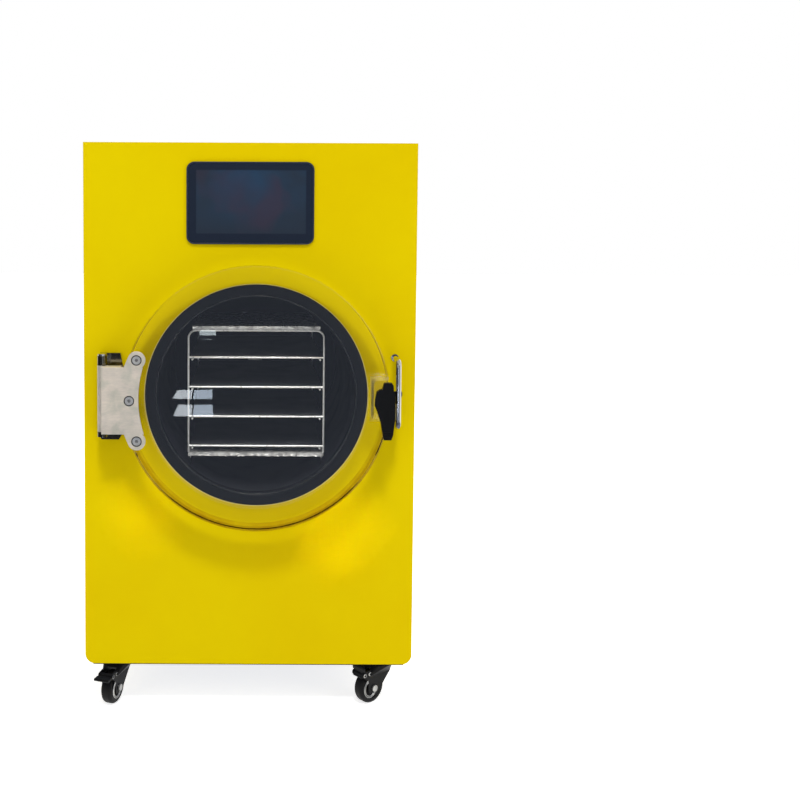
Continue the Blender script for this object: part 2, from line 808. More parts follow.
@dataclass(frozen=True)
class DisplayGlass(Finish):
    """Dark cover glass with a blank display behind part of it."""

    middle: Point
    half_size: Span
    glass: Colour
    display: Colour
    sheen: Colour = (0.02, 0.05, 0.1, 1.0)
    warm_sheen: Colour = (0.04, 0.03, 0.05, 1.0)
    edge_soft: float = 0.0015
    haze: Blotches = Blotches(0.09, 3.0, 0.35, 0.7)
    warmth: Blotches = Blotches(0.07, 2.0, 0.52, 0.7, distortion=0.5)
    warm_share: float = 0.6
    roughness: float = 0.08
    smudge_rough: float = 0.1

    def dress(self, wiring: Wiring, shader: bpy.types.Node, sink: bpy.types.Node) -> None:
        """A slightly lighter rectangle with a cool and a warm sheen under smooth glass."""
        place = wiring.place()
        offset = wiring.vector("SUBTRACT", place, self.middle)
        parts = wiring.add("SeparateXYZ", {0: wiring.vector("ABSOLUTE", offset)}).outputs
        half_wide, half_high = self.half_size
        across = wiring.spread(parts["X"], half_wide, half_wide - self.edge_soft)
        upward = wiring.spread(parts["Z"], half_high, half_high - self.edge_soft)
        shown = wiring.calc("MULTIPLY", across, upward)
        fade = wiring.spread(wiring.axis(offset, "Z"), -half_high, half_high)
        haze = self.haze.mask(wiring, place)
        lit = wiring.blend(wiring.calc("MULTIPLY", fade, haze), self.display, self.sheen)
        lit = wiring.blend(self.warmth.mask(wiring, place, to_high=self.warm_share), lit, self.warm_sheen)
        tone = wiring.blend(shown, self.glass, lit)
        marks = Handling.put(wiring, Smudge=0.8, Scratch=0.15, Dust=0.2)
        rough = wiring.calc("ADD", wiring.calc("MULTIPLY", marks["Smudges"], self.smudge_rough), self.roughness)
        wiring.feed(shader, Base_Color=tone, Roughness=rough, Coat_Weight=0.4, Coat_Roughness=0.03)


@dataclass(frozen=True)
class FloorPaint(Finish):
    """A pale studio floor that reads as white to the camera and still takes the object's shadow."""

    colour: Colour
    lift: float = 0.72
    blotches: Blotches = Blotches(0.8, 3.0, 0.3, 0.7)
    blotch_share: float = 0.985

    def dress(self, wiring: Wiring, shader: bpy.types.Node, sink: bpy.types.Node) -> None:
        """Plain matt paint, lifted where the camera, a mirror or a lens looks at it."""
        tone = wiring.blend(self.blotches.mask(wiring), self.colour, toned(self.colour, self.blotch_share))
        wiring.feed(shader, Base_Color=tone, Roughness=0.9, Specular_IOR_Level=0.1)
        strength = wiring.calc("MULTIPLY", wiring.looked_at(), self.lift)
        glow = wiring.add("Emission", {"Color": grey(1.0), "Strength": strength})
        both = wiring.add("AddShader", {0: shader.outputs[0], 1: glow.outputs[0]})
        wiring.supply(sink.inputs["Surface"], both.outputs[0])


class Palette(Enum):
    """Every finish on the machine and in the studio."""

    YELLOW = PowderCoat(
        "yellow_powder_coat", colour=(0.67, 0.52, 0.0, 1.0), shade=(0.645, 0.475, 0.0, 1.0), specular=0.02
    )
    FRAME_PAINT = PowderCoat(
        "grey_frame_paint", colour=(0.12, 0.12, 0.13, 1.0), shade=(0.09, 0.09, 0.1, 1.0), roughness=0.45,
        specular=0.4,
    )
    ZINC = Steel(
        "zinc_plated_sheet", colour=(0.56, 0.57, 0.58, 1.0), roughness=0.35, along=(0.05, 1.0, 1.0),
        grain_width=0.002,
    )
    SATIN = Steel(
        "satin_stainless", colour=(0.95, 0.86, 0.75, 1.0), roughness=0.5, metallic=0.7, along=(0.3, 1.0, 1.0),
        grain_width=0.002, grain_depth=0.000002, patina=(0.46, 0.5, 0.4, 1.0), patina_share=0.35,
    )
    BRACKET = Steel(
        "dark_polished_bracket", colour=(0.3, 0.28, 0.22, 1.0), roughness=0.1, uneven=0.08,
        patina=(0.12, 0.11, 0.08, 1.0), patina_share=0.8, grain_depth=0.000002,
    )
    ZINC_AXLE = Steel(
        "zinc_axle_steel", colour=(0.5, 0.5, 0.485, 1.0), roughness=0.34, patina=(0.2, 0.2, 0.19, 1.0),
        patina_share=0.7,
    )
    LEVER = Moulded(
        "black_nylon_lever", colour=(0.005, 0.0055, 0.0065, 1.0), bare=(0.02, 0.02, 0.021, 1.0),
        roughness=0.42, specular=0.12, dust=0.15,
    )
    NYLON_RING = Moulded(
        "dark_nylon_ring", colour=(0.02, 0.02, 0.02, 1.0), bare=(0.05, 0.05, 0.05, 1.0), roughness=0.5,
        specular=0.2, dust=0.1,
    )
    LIP = Moulded(
        "glossy_gasket_lip", colour=(0.006, 0.007, 0.009, 1.0), bare=(0.02, 0.021, 0.024, 1.0),
        roughness=0.16, specular=0.5, speck_depth=0.000004, dust=0.0,
    )
    GROUND = Steel("ground_stainless", colour=(0.4, 0.395, 0.38, 1.0), roughness=0.36, uneven=0.1)
    HEM = Moulded(
        "pale_silicone_hem", colour=(0.75, 0.62, 0.2, 1.0), bare=(0.8, 0.68, 0.3, 1.0), roughness=0.4,
        specular=0.3, dust=0.0,
    )
    SCREW = Steel(
        "satin_screw_steel", colour=(0.95, 0.93, 0.9, 1.0), roughness=0.5, uneven=0.1, grain_depth=0.000002,
        grime=0.004,
    )
    POLISHED = Steel(
        "polished_stainless", colour=(0.83, 0.83, 0.84, 1.0), roughness=0.06, uneven=0.05,
        grain_depth=0.000001,
    )
    WIRE = Steel(
        "electropolished_wire", colour=(0.92, 0.92, 0.93, 1.0), roughness=0.25, uneven=0.08,
        grain_depth=0.000002, metallic=0.65,
    )
    FOIL = CrumpledFoil(
        "bright_reflector_sheet", colour=(0.92, 0.92, 0.93, 1.0),
        legs_below=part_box("bottom_reflector")[1].z - LEGS_BELOW_SHEET,
    )
    DARK_CHAMBER = Moulded(
        "dark_chamber_coating", colour=(0.01, 0.011, 0.015, 1.0), bare=(0.02, 0.022, 0.03, 1.0),
        roughness=0.4, dust=0.1, specular=0.2,
    )
    FOAM = Foam("closed_cell_foam", colour=(0.72, 0.62, 0.42, 1.0))
    COPPER = Steel(
        "copper_tube", colour=(0.78, 0.42, 0.26, 1.0), roughness=0.28, uneven=0.2, grain_width=0.0015,
        patina=(0.36, 0.2, 0.14, 1.0), patina_share=0.6,
    )
    GASKET = Moulded(
        "black_silicone_gasket", colour=(0.003, 0.0035, 0.005, 1.0), bare=(0.007, 0.008, 0.012, 1.0),
        roughness=0.5, speck_depth=0.00001, specular=0.05, dust=0.05,
    )
    HEATER = Moulded(
        "dark_anodised_shelf", colour=(0.045, 0.046, 0.052, 1.0), bare=(0.1, 0.1, 0.11, 1.0), roughness=0.42,
        metallic=0.5, dust=0.1,
    )
    BLACK_PLASTIC = Moulded(
        "moulded_black", colour=(0.016, 0.016, 0.018, 1.0), bare=(0.045, 0.045, 0.047, 1.0), roughness=0.36
    )
    GREY_PLASTIC = Moulded("moulded_grey", colour=(0.1, 0.1, 0.105, 1.0), bare=(0.17, 0.17, 0.17, 1.0))
    ENAMEL = Moulded(
        "compressor_enamel", colour=(0.014, 0.014, 0.015, 1.0), bare=(0.06, 0.055, 0.05, 1.0), roughness=0.24,
        speck=0.004, speck_depth=0.00005,
    )
    FINS = Finned("condenser_fins", colour=(0.72, 0.73, 0.74, 1.0))
    RED_GRIP = Moulded(
        "red_vinyl_grip", colour=(0.55, 0.02, 0.015, 1.0), bare=(0.68, 0.1, 0.07, 1.0), roughness=0.3
    )
    TREAD = Moulded(
        "black_tread_rubber", colour=(0.005, 0.005, 0.0055, 1.0), bare=(0.016, 0.016, 0.015, 1.0),
        roughness=0.5, specular=0.12, dust=0.12,
    )
    DOOR_CLEAR = ClearSheet(
        "door_acrylic", tint=(0.985, 0.985, 0.97, 1.0), pocket=tuple(LATCH_POCKET),
        pocket_reach=(0.0245, 0.0085, 0.0335), middle=tuple(node_middle("door_disc")),
        radius=(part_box("door_disc")[1].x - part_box("door_disc")[0].x) / 2,
    )
    DISPLAY = DisplayGlass(
        "display_cover_glass", middle=tuple(node_middle("screen_glass") + DISPLAY_OFFSET),
        half_size=(0.0828, 0.048), glass=(0.013, 0.019, 0.034, 1.0), display=(0.021, 0.03, 0.046, 1.0),
    )
    BEZEL = Moulded(
        "navy_screen_frame", colour=(0.024, 0.032, 0.054, 1.0), bare=(0.002, 0.002, 0.003, 1.0),
        roughness=0.3, speck_depth=0.00001, specular=0.3, dust=0.1,
    )
    CASTER_BLACK = Moulded(
        "caster_moulding", colour=(0.004, 0.004, 0.0045, 1.0), bare=(0.014, 0.014, 0.014, 1.0), roughness=0.4,
        specular=0.1, dust=0.08,
    )
    FLOOR = FloorPaint("pale_studio_floor", colour=grey(0.9))

    def material(self) -> bpy.types.Material:
        """This finish's material."""
        return self.value.material()

    def on(self, *nodes: str) -> None:
        """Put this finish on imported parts.

        Args:
            nodes: the parts' names.
        """
        for name in nodes:
            piece = frame["nodes"][name]
            for place in piece.material_slots:
                place.material = self.material()


# -------------------------------------------------------------- mesh helpers

# Points nearer to each other than this are merged
MERGE_REACH = 1e-6

# A turned form closes to a single point below this radius
POINT_R = 1e-7


def placed(name: str, data: bpy.types.ID) -> bpy.types.Object:
    """A new object in the scene that shows a mesh, a lamp or a camera."""
    made = bpy.data.objects.new(name, data)
    bpy.context.scene.collection.objects.link(made)
    return made


def mesh_piece(
    name: str, shape: bmesh.types.BMesh, finish: Palette, smooth_angle: float = 35.0
) -> bpy.types.Object:
    """Turn a drawn shape into a piece of the scene.

    Args:
        name: the piece's name.
        shape: the drawn shape, which is freed.
        finish: its finish.
        smooth_angle: faces that meet at less than this, in degrees, shade smoothly.

    Returns:
        The new object.
    """
    bmesh.ops.remove_doubles(shape, verts=shape.verts, dist=MERGE_REACH)
    bmesh.ops.recalc_face_normals(shape, faces=shape.faces)
    for face in shape.faces:
        face.smooth = True
    for edge in shape.edges:
        edge.smooth = len(edge.link_faces) == 2 and edge.calc_face_angle(math.pi) < math.radians(smooth_angle)
    mesh = bpy.data.meshes.new(name)
    shape.to_mesh(mesh)
    shape.free()
    piece = placed(name, mesh)
    mesh.materials.append(finish.material())
    return piece


def turned(shape: bmesh.types.BMesh, profile: Sequence[Span], place: Matrix, steps: int = 32) -> None:
    """Draw a turned form.

    Args:
        shape: what it is added to.
        profile: (radius, height) points from one end to the other.
        place: where its axis, the local Z, stands.
        steps: facets around it.
    """
    rings = []
    for radius, height in profile:
        angles = full_turn(1 if radius < POINT_R else steps)
        points = [place @ Vector((radius * math.cos(a), radius * math.sin(a), height)) for a in angles]
        rings.append([shape.verts.new(point) for point in points])
    for low, high in zip(rings, rings[1:]):
        for i in range(steps):
            after = i + 1
            corners = [low[i % len(low)], low[after % len(low)], high[after % len(high)], high[i % len(high)]]
            unique = list(dict.fromkeys(corners))
            if len(unique) > 2:
                shape.faces.new(unique)


def swept(shape: bmesh.types.BMesh, path: Sequence[Vector], radius: float, sides: int = 12) -> None:
    """Draw a round wire with closed ends.

    Args:
        shape: what it is added to.
        path: the points along its middle.
        radius: half of its thickness.
        sides: facets around it.
    """
    across = None
    rings = []
    for i, point in enumerate(path):
        along = (path[min(i + 1, len(path) - 1)] - path[max(i - 1, 0)]).normalized()
        across = (across or along.orthogonal()).cross(along).cross(along).normalized() * -1
        other = along.cross(across)
        spokes = [math.cos(a) * across + math.sin(a) * other for a in full_turn(sides)]
        rings.append([shape.verts.new(point + radius * spoke) for spoke in spokes])
    for low, high in zip(rings, rings[1:]):
        for k in range(sides):
            shape.faces.new((low[k], low[(k + 1) % sides], high[(k + 1) % sides], high[k]))
    shape.faces.new(rings[0])
    shape.faces.new(rings[-1])


def facing(point: Point, toward: Point) -> Matrix:
    """A placement whose local Z looks along a direction.

    Args:
        point: the placement's origin.
        toward: the direction of local Z.

    Returns:
        The placement.
    """
    return Matrix.Translation(point) @ Vector(toward).to_track_quat("Z", "Y").to_matrix().to_4x4()


# ------------------------------------------------------------- sub-assemblies


@dataclass
class Assembly:
    """Parts that are dressed and completed together."""

    body: str = "cabinet"
    finishes: ClassVar[dict[Palette, tuple[str, ...]]] = {}

    def dress(self) -> None:
        """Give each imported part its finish."""
        for finish, nodes in self.finishes.items():
            finish.on(*nodes)

    def build(self) -> list[bpy.types.Object]:
        """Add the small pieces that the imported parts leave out.

        Returns:
            The new pieces.
        """
        return []

    def keep(self, piece: bpy.types.Object, slot: str, body: str | None = None) -> bpy.types.Object:
        """Let a piece ride on its body and name its material slot.

        Args:
            piece: the new piece.
            slot: the record's slot.
            body: the body, or None for the assembly's own.

        Returns:
            The same piece.
        """
        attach(piece, body or self.body)
        return piece


@dataclass
class Cabinet(Assembly):
    """The sheet-steel cabinet on its tube frame."""

    screw_r: float = 0.0042
    screw_rows: int = 5
    screw_inset: float = 0.006
    screw_end: float = 0.02
    screw_sunk: float = 0.0002
    head_tall: float = 0.55
    # The pan head's outline, as shares of its radius and its height, from its rim into the driver recess
    head_outline: tuple[Span, ...] = ((1.0, 0.35), (0.9, 0.75), (0.62, 1.0), (0.34, 1.0), (0.22, 0.35), (0.0, 0.3))
    seal_r: float = 0.0012
    seal_in: float = 0.012
    seal_gap: float = 0.0006
    seal_sunk: float = 0.4

    finishes = {
        Palette.YELLOW: ("front_panel", "left_side_panel", "right_side_panel", "top_panel", "rear_panel"),
        Palette.ZINC: ("base_pan",),
        Palette.FRAME_PAINT: ("inner_frame", "tank_saddles"),
    }

    def build(self) -> list[bpy.types.Object]:
        """Pan-head screws along the rear panel's two upright edges, and the seal under the front panel."""
        low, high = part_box("rear_panel")
        run = high.z - low.z - 2 * self.screw_end
        shape = bmesh.new()
        for x in (low.x + self.screw_inset, high.x - self.screw_inset):
            for row in range(self.screw_rows):
                z = low.z + self.screw_end + run * row / (self.screw_rows - 1)
                self.pan_head(shape, facing((x, high.y, z), (0, 1, 0)))
        screws = mesh_piece("rear_panel_screws", shape, Palette.ZINC)
        return [self.keep(screws, "galvanised_steel"), self.keep(self.base_seal(), "black_rubber")]

    def base_seal(self) -> bpy.types.Object:
        """A round black cord seal under the front panel's lower edge."""
        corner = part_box("front_panel")[0]
        left = corner + Vector((self.seal_in, self.seal_r + self.seal_gap, -self.seal_sunk * self.seal_r))
        right = Vector((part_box("right_side_panel")[1].x - self.seal_in, left.y, left.z))
        shape = bmesh.new()
        swept(shape, [left, right], self.seal_r, sides=10)
        return mesh_piece("base_seal", shape, Palette.LEVER, smooth_angle=60.0)

    def pan_head(self, shape: bmesh.types.BMesh, place: Matrix) -> None:
        """Draw one pan head with its driver recess.

        Args:
            shape: what it is added to.
            place: the middle of its seat, with Z out of the panel.
        """
        r, tall = self.screw_r, self.screw_r * self.head_tall
        profile = [(0, -self.screw_sunk), (r, -self.screw_sunk)]
        turned(shape, profile + [(r * out, tall * up) for out, up in self.head_outline], place, steps=24)


@dataclass
class Screen(Assembly):
    """The touch screen, its frame and the box behind it."""

    finishes = {
        Palette.BEZEL: ("screen_bezel",),
        Palette.DISPLAY: ("screen_glass",),
        Palette.GREY_PLASTIC: ("screen_housing",),
    }


@dataclass
class Chamber(Assembly):
    """The vacuum chamber with its gasket, foam and cooling tube."""

    finishes = {
        Palette.DARK_CHAMBER: ("chamber_tank",),
        Palette.FOAM: ("chamber_insulation",),
        Palette.COPPER: ("evaporator_coil",),
        Palette.GASKET: ("door_gasket",),
    }
    lip_r: float = 0.1488
    lip_t: float = 0.0009
    hem_t: float = 0.0004
    bead_behind: float = 0.0003

    def build(self) -> list[bpy.types.Object]:
        """The glossy bead on the gasket's inner edge, and the pale hem round its outside."""
        low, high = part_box("door_gasket")
        gasket = frame["nodes"]["door_gasket"]
        # Light guided in the door's acrylic brightens the ring round the gasket, so the gasket takes none away
        gasket.visible_diffuse = gasket.visible_shadow = False
        return [
            self.bead("gasket_lip", self.lip_r, self.lip_t, Palette.LIP),
            self.bead("gasket_hem", (high.x - low.x) / 2 + 0.5 * self.hem_t, self.hem_t, Palette.HEM),
        ]

    def bead(self, name: str, radius: float, thick: float, finish: Palette) -> bpy.types.Object:
        """A round bead on the gasket's front, as one ring.

        Args:
            name: the piece's name.
            radius: the ring's radius at the bead's middle.
            thick: the bead's own radius.
            finish: what the bead is made of.

        Returns:
            The new piece, on the gasket's slot.
        """
        low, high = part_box("door_gasket")
        middle = Vector(((low.x + high.x) / 2, low.y + thick + self.bead_behind, (low.z + high.z) / 2))
        profile = [(radius + thick * math.cos(a), thick * math.sin(a)) for a in full_turn(16, closed=True)]
        shape = bmesh.new()
        turned(shape, profile, facing(middle, (0, -1, 0)), steps=192)
        return self.keep(mesh_piece(name, shape, finish), "black_rubber")


@dataclass
class TrayRack(Assembly):
    """The wire rack with its reflectors and heated shelves."""

    finishes = {
        Palette.WIRE: ("rack_front_frame", "rack_rear_frame", "rack_rails"),
        Palette.FOIL: ("top_reflector", "bottom_reflector"),
        Palette.HEATER: ("heated_shelf_1", "heated_shelf_2", "heated_shelf_3", "heated_shelf_4"),
    }
    top_hem: float = 0.0047
    top_sunk: float = 0.0004
    bottom_hem: float = 0.0055
    hem_t: float = 0.0002
    columns: int = 220
    rows: int = 8
    crumple: float = 0.0022
    ragged: float = 0.0004
    # Creases to a metre, in the coarse layer, the fine one and the hem's free edge
    coarse_creases: float = 260.0
    fine_creases: float = 700.0
    edge_creases: float = 400.0
    fine_share: float = 0.6

    def build(self) -> list[bpy.types.Object]:
        """The crumpled front edges of the bright sheets, turned up above the rack and down below it."""
        upper_low, upper_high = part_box("top_reflector")
        lower_low, lower_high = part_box("bottom_reflector")
        fold = upper_high.z - self.top_sunk
        top = self.hem("top_reflector_hem", upper_low, upper_high, fold, self.top_hem)
        bottom = self.hem("bottom_reflector_hem", lower_low, lower_high, lower_high.z, -self.bottom_hem)
        return [top, bottom]

    def hem(self, name: str, low: Vector, high: Vector, start: float, rise: float) -> bpy.types.Object:
        """One crumpled strip along a sheet's front edge.

        Args:
            name: the piece's name.
            low: the sheet's lowest corner.
            high: its highest corner.
            start: the height of the fold.
            rise: how far the strip stands up from it, or hangs down.

        Returns:
            The new piece.
        """
        shape = bmesh.new()
        grid = []
        for i in range(self.columns + 1):
            x = low.x + (high.x - low.x) * i / self.columns
            column = []
            for k in range(self.rows + 1):
                share = k / self.rows
                y = low.y + self.hem_t - self.crumple * share * self.crease(x, share, start)
                edge = self.ragged * noise.noise(Vector((self.edge_creases * x, 0.0, 5.0)))
                column.append(shape.verts.new((x, y, start + share * (rise + edge))))
            grid.append(column)
        for left, right in zip(grid, grid[1:]):
            for k in range(self.rows):
                shape.faces.new((left[k], right[k], right[k + 1], left[k + 1]))
        piece = mesh_piece(name, shape, Palette.FOIL, smooth_angle=50.0)
        thick = piece.modifiers.new("thickness", "SOLIDIFY")
        thick.thickness = self.hem_t
        thick.offset = 0.0
        return self.keep(piece, "polished_steel")

    def crease(self, x: float, share: float, start: float) -> float:
        """How far a hem is pushed back at one point, in a coarse layer of creases and a fine one.

        Args:
            x: the place along the hem, in metres.
            share: how far down the strip, from 0 to 1.
            start: the height of the fold, which sets the two hems apart.

        Returns:
            The depth, as a share of the whole crumple.
        """
        coarse = noise.noise(Vector((self.coarse_creases * x, 3.1 * share, start * 40)))
        return coarse + self.fine_share * noise.noise(Vector((self.fine_creases * x, 6.0 * share, 2.0)))


@dataclass
class Door(Assembly):
    """The clear door with its hinge leaf and latch."""

    body: str = "door"
    head_r: float = 0.0064
    ring_in: float = 0.0064
    ring_out: float = 0.0077
    ring_t: float = 0.00025
    ring_sunk: float = 0.0004
    # The cup ring's height at its inner edge, and the widths of its inner and outer slopes
    ring_inner_share: float = 0.7
    ring_slopes: Span = (0.0003, 0.0004)

    finishes = {
        Palette.DOOR_CLEAR: ("door_disc",),
        Palette.SATIN: ("hinge_leaf",),
        Palette.SCREW: ("hinge_screws", "latch_post"),
        Palette.LEVER: ("latch_lever",),
    }

    def build(self) -> list[bpy.types.Object]:
        """Dark cup rings round the three countersunk screws."""
        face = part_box("hinge_leaf")[0].y
        inner, outer = self.ring_slopes
        foot = (self.ring_in, -self.ring_sunk)
        profile = [
            foot, (self.ring_in, self.ring_t * self.ring_inner_share), (self.ring_in + inner, self.ring_t),
            (self.ring_out - outer, self.ring_t), (self.ring_out, 0.0), foot,
        ]
        shape = bmesh.new()
        for x, z in self.screw_places():
            turned(shape, profile, facing((x, face, z), (0, -1, 0)), steps=40)
        rings = mesh_piece("hinge_cup_rings", shape, Palette.NYLON_RING)
        return [self.keep(rings, "black_plastic")]

    def screw_places(self) -> list[Span]:
        """The screws' middles, from the box round all three of them.

        Returns:
            Their (x, z) places: the ears' two on the box's right side, the middle one on its left.
        """
        low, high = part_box("hinge_screws")
        r = self.head_r
        return [(high.x - r, high.z - r), (high.x - r, low.z + r), (low.x + r, (low.z + high.z) / 2)]


@dataclass
class HingeAndKeeper(Assembly):
    """What the door hangs from and locks to."""

    finishes = {
        Palette.BRACKET: ("hinge_bracket",),
        Palette.POLISHED: ("hinge_pin", "keeper_bar", "keeper_nuts", "bracket_screws"),
    }


@dataclass
class Machinery(Assembly):
    """Compressor, condenser, fan and control box."""

    finishes = {
        Palette.ENAMEL: ("compressor",),
        Palette.FINS: ("condenser",),
        Palette.BLACK_PLASTIC: ("fan_frame",),
        Palette.GREY_PLASTIC: ("fan_rotor",),
        Palette.ZINC: ("control_box",),
    }


@dataclass
class RearFittings(Assembly):
    """Vacuum port, drain valve, mains inlet and switch."""

    finishes = {
        Palette.GROUND: ("vacuum_port", "drain_valve"),
        Palette.RED_GRIP: ("drain_handle",),
        Palette.BLACK_PLASTIC: ("power_inlet", "switch_frame"),
        Palette.GREY_PLASTIC: ("power_switch",),
    }


@dataclass
class Caster(Assembly):
    """One swivel caster, with a pedal brake at the front."""

    spot: str = "front_left"
    braked: bool = True
    cheek_face: float = 0.012
    pin_r: float = 0.002
    rivet: Span = (-0.0095, 0.0245)
    rivet_r: float = 0.0029
    rivet_rim: float = 0.0005
    rivet_crown: float = 0.0009
    rivet_dish: Span = (0.0003, 0.0002)
    spring_r: float = 0.0006
    spring_gap: float = 0.002
    clearance: float = 0.0001
    spring_middle: Span = (-0.009, 0.0015)
    spring_reach: float = 0.0125
    spring_oval: float = 1.1
    spring_from: float = 112.0
    spring_to: float = 325.0
    spring_steps: int = 28

    def dress(self) -> None:
        """Give the caster's parts their finishes."""
        Palette.CASTER_BLACK.on(f"{self.spot}_fork")
        Palette.ZINC_AXLE.on(f"{self.spot}_axle")
        Palette.TREAD.on(f"{self.spot}_wheel")
        if self.braked:
            Palette.CASTER_BLACK.on(f"{self.spot}_brake")

    def stand(self) -> Matrix:
        """The fork's own placement: X out along the axle, Y towards the king pin, origin on the axle."""
        roll = joint(f"{self.spot}_roll")
        middle = Vector(roll["pos_m"])
        side = Vector(roll["axis"]).normalized()
        ahead = Vector((0, 0, 1)).cross(side)
        return Matrix.Translation(middle) @ Matrix((side, ahead, (0, 0, 1))).transposed().to_4x4()

    def build(self) -> list[bpy.types.Object]:
        """Rivets on the cheeks, a rolled rim round the brake's pin, and the brake's return spring."""
        if not self.braked:
            return []
        stand = self.stand()
        fork = f"{self.spot}_fork"
        pin = stand.inverted() @ Vector(joint(f"{self.spot}_pedal")["pos_m"])
        shape = bmesh.new()
        for side in (-1, 1):
            for y, z, bore in ((pin.y, pin.z, self.pin_r), (*self.rivet, 0.0)):
                self.rivet_head(shape, stand @ facing((side * self.cheek_face, y, z), (side, 0, 0)), bore)
        rivets = mesh_piece(f"{self.spot}_rivets", shape, Palette.ZINC_AXLE)
        shape = bmesh.new()
        for inward in (0.0, self.spring_gap):
            swept(shape, [stand @ point for point in self.spring_path(inward)], self.spring_r)
        spring = mesh_piece(f"{self.spot}_brake_spring", shape, Palette.ZINC_AXLE, smooth_angle=60.0)
        return [self.keep(rivets, "stainless_steel", fork), self.keep(spring, "polished_steel", fork)]

    def rivet_head(self, shape: bmesh.types.BMesh, place: Matrix, bore: float) -> None:
        """A rolled rim with a dished middle, or round a bore.

        Args:
            shape: what it is added to.
            place: where it stands on the cheek.
            bore: the radius of what comes through it, or 0.
        """
        r, rim, crown = self.rivet_r, self.rivet_rim, self.rivet_crown
        slope, bottom = self.rivet_dish
        dish = [(0.4 * r, slope), (0.0, bottom)]
        middle = [(bore + self.clearance, rim), (bore + self.clearance, 0.0)] if bore else dish
        turned(shape, [(r, 0.0), (r, rim), (0.9 * r, crown), (0.75 * r, crown), *middle], place, steps=24)

    def spring_path(self, inward: float) -> list[Vector]:
        """The middle of one leg of the return spring, on the cheek's outer side.

        Args:
            inward: how far it lies inside the outer leg.

        Returns:
            Its points in the fork's own placement.
        """
        out = self.cheek_face + self.spring_r + self.clearance
        y, z = self.spring_middle
        reach = self.spring_reach - inward
        path = []
        for step in range(self.spring_steps + 1):
            sweep = (self.spring_to - self.spring_from) * step / self.spring_steps
            turn = math.radians(self.spring_from + sweep)
            path.append(Vector((out, y + reach * math.cos(turn), z + self.spring_oval * reach * math.sin(turn))))
        return path


@dataclass
class CasterPlates(Assembly):
    """The four plates that the casters are bolted up with."""

    finishes = {Palette.ZINC: ("caster_plates",)}


# -------------------------------------------------------------------- studio

# The dim room that metal and glass show: half its width, its two ends, its height and where its carpet ends
ROOM_HALF = 2.0
ROOM_BACK = -3.4
ROOM_FRONT = 0.4
ROOM_TALL = 2.6
CARPET_END = -0.85

WARM: Tint = (1.0, 0.98, 0.9)
PANE_LEFT: Tint = (0.85, 0.92, 1.0)
PANE_RIGHT: Tint = (0.72, 0.84, 1.0)
PANE_TOP: Tint = (0.78, 0.9, 0.95)


def upright(start: Span, end: Span) -> tuple[Point, ...]:
    """The corners of a room side that stands between two (x, y) places on the floor."""
    return ((*start, 0.0), (*end, 0.0), (*end, ROOM_TALL), (*start, ROOM_TALL))


def lying(start: float, end: float, height: float) -> tuple[Point, ...]:
    """The corners of a level room side as wide as the room, from one depth to another."""
    left, right = -ROOM_HALF, ROOM_HALF
    return ((left, start, height), (right, start, height), (right, end, height), (left, end, height))


@dataclass(frozen=True)
class Lamp:
    """One soft box, whose spread of 180 degrees is that of a plain one."""

    name: str
    place: Point
    target: Point
    size: Span
    power: float
    tint: Tint = (1.0, 1.0, 1.0)
    spread: float = 180.0

    def light(self) -> None:
        """Hang the lamp and turn it to its target."""
        data = bpy.data.lights.new(self.name, "AREA")
        data.shape = "RECTANGLE"
        data.size, data.size_y = self.size
        data.spread = math.radians(self.spread)
        data.energy = self.power
        data.color = self.tint
        aim = Vector(self.target) - Vector(self.place)
        turn = aim.to_track_quat("-Z", "Y").to_matrix().to_4x4()
        placed(self.name, data).matrix_world = Matrix.Translation(self.place) @ turn


@dataclass(frozen=True)
class Pane:
    """One flat glowing pane that the door mirrors, as (x, z) corners in its own upright plane."""

    name: str
    corners: tuple[Span, ...]
    tint: Tint
    level: float


@dataclass(frozen=True)
class RoomSide:
    """One flat side of the room, which light through glass meets only if it is behind the camera."""

    name: str
    corners: tuple[Point, ...]
    level: float
    tint: Tint = (0.76, 0.86, 1.12)
    behind_camera: bool = False


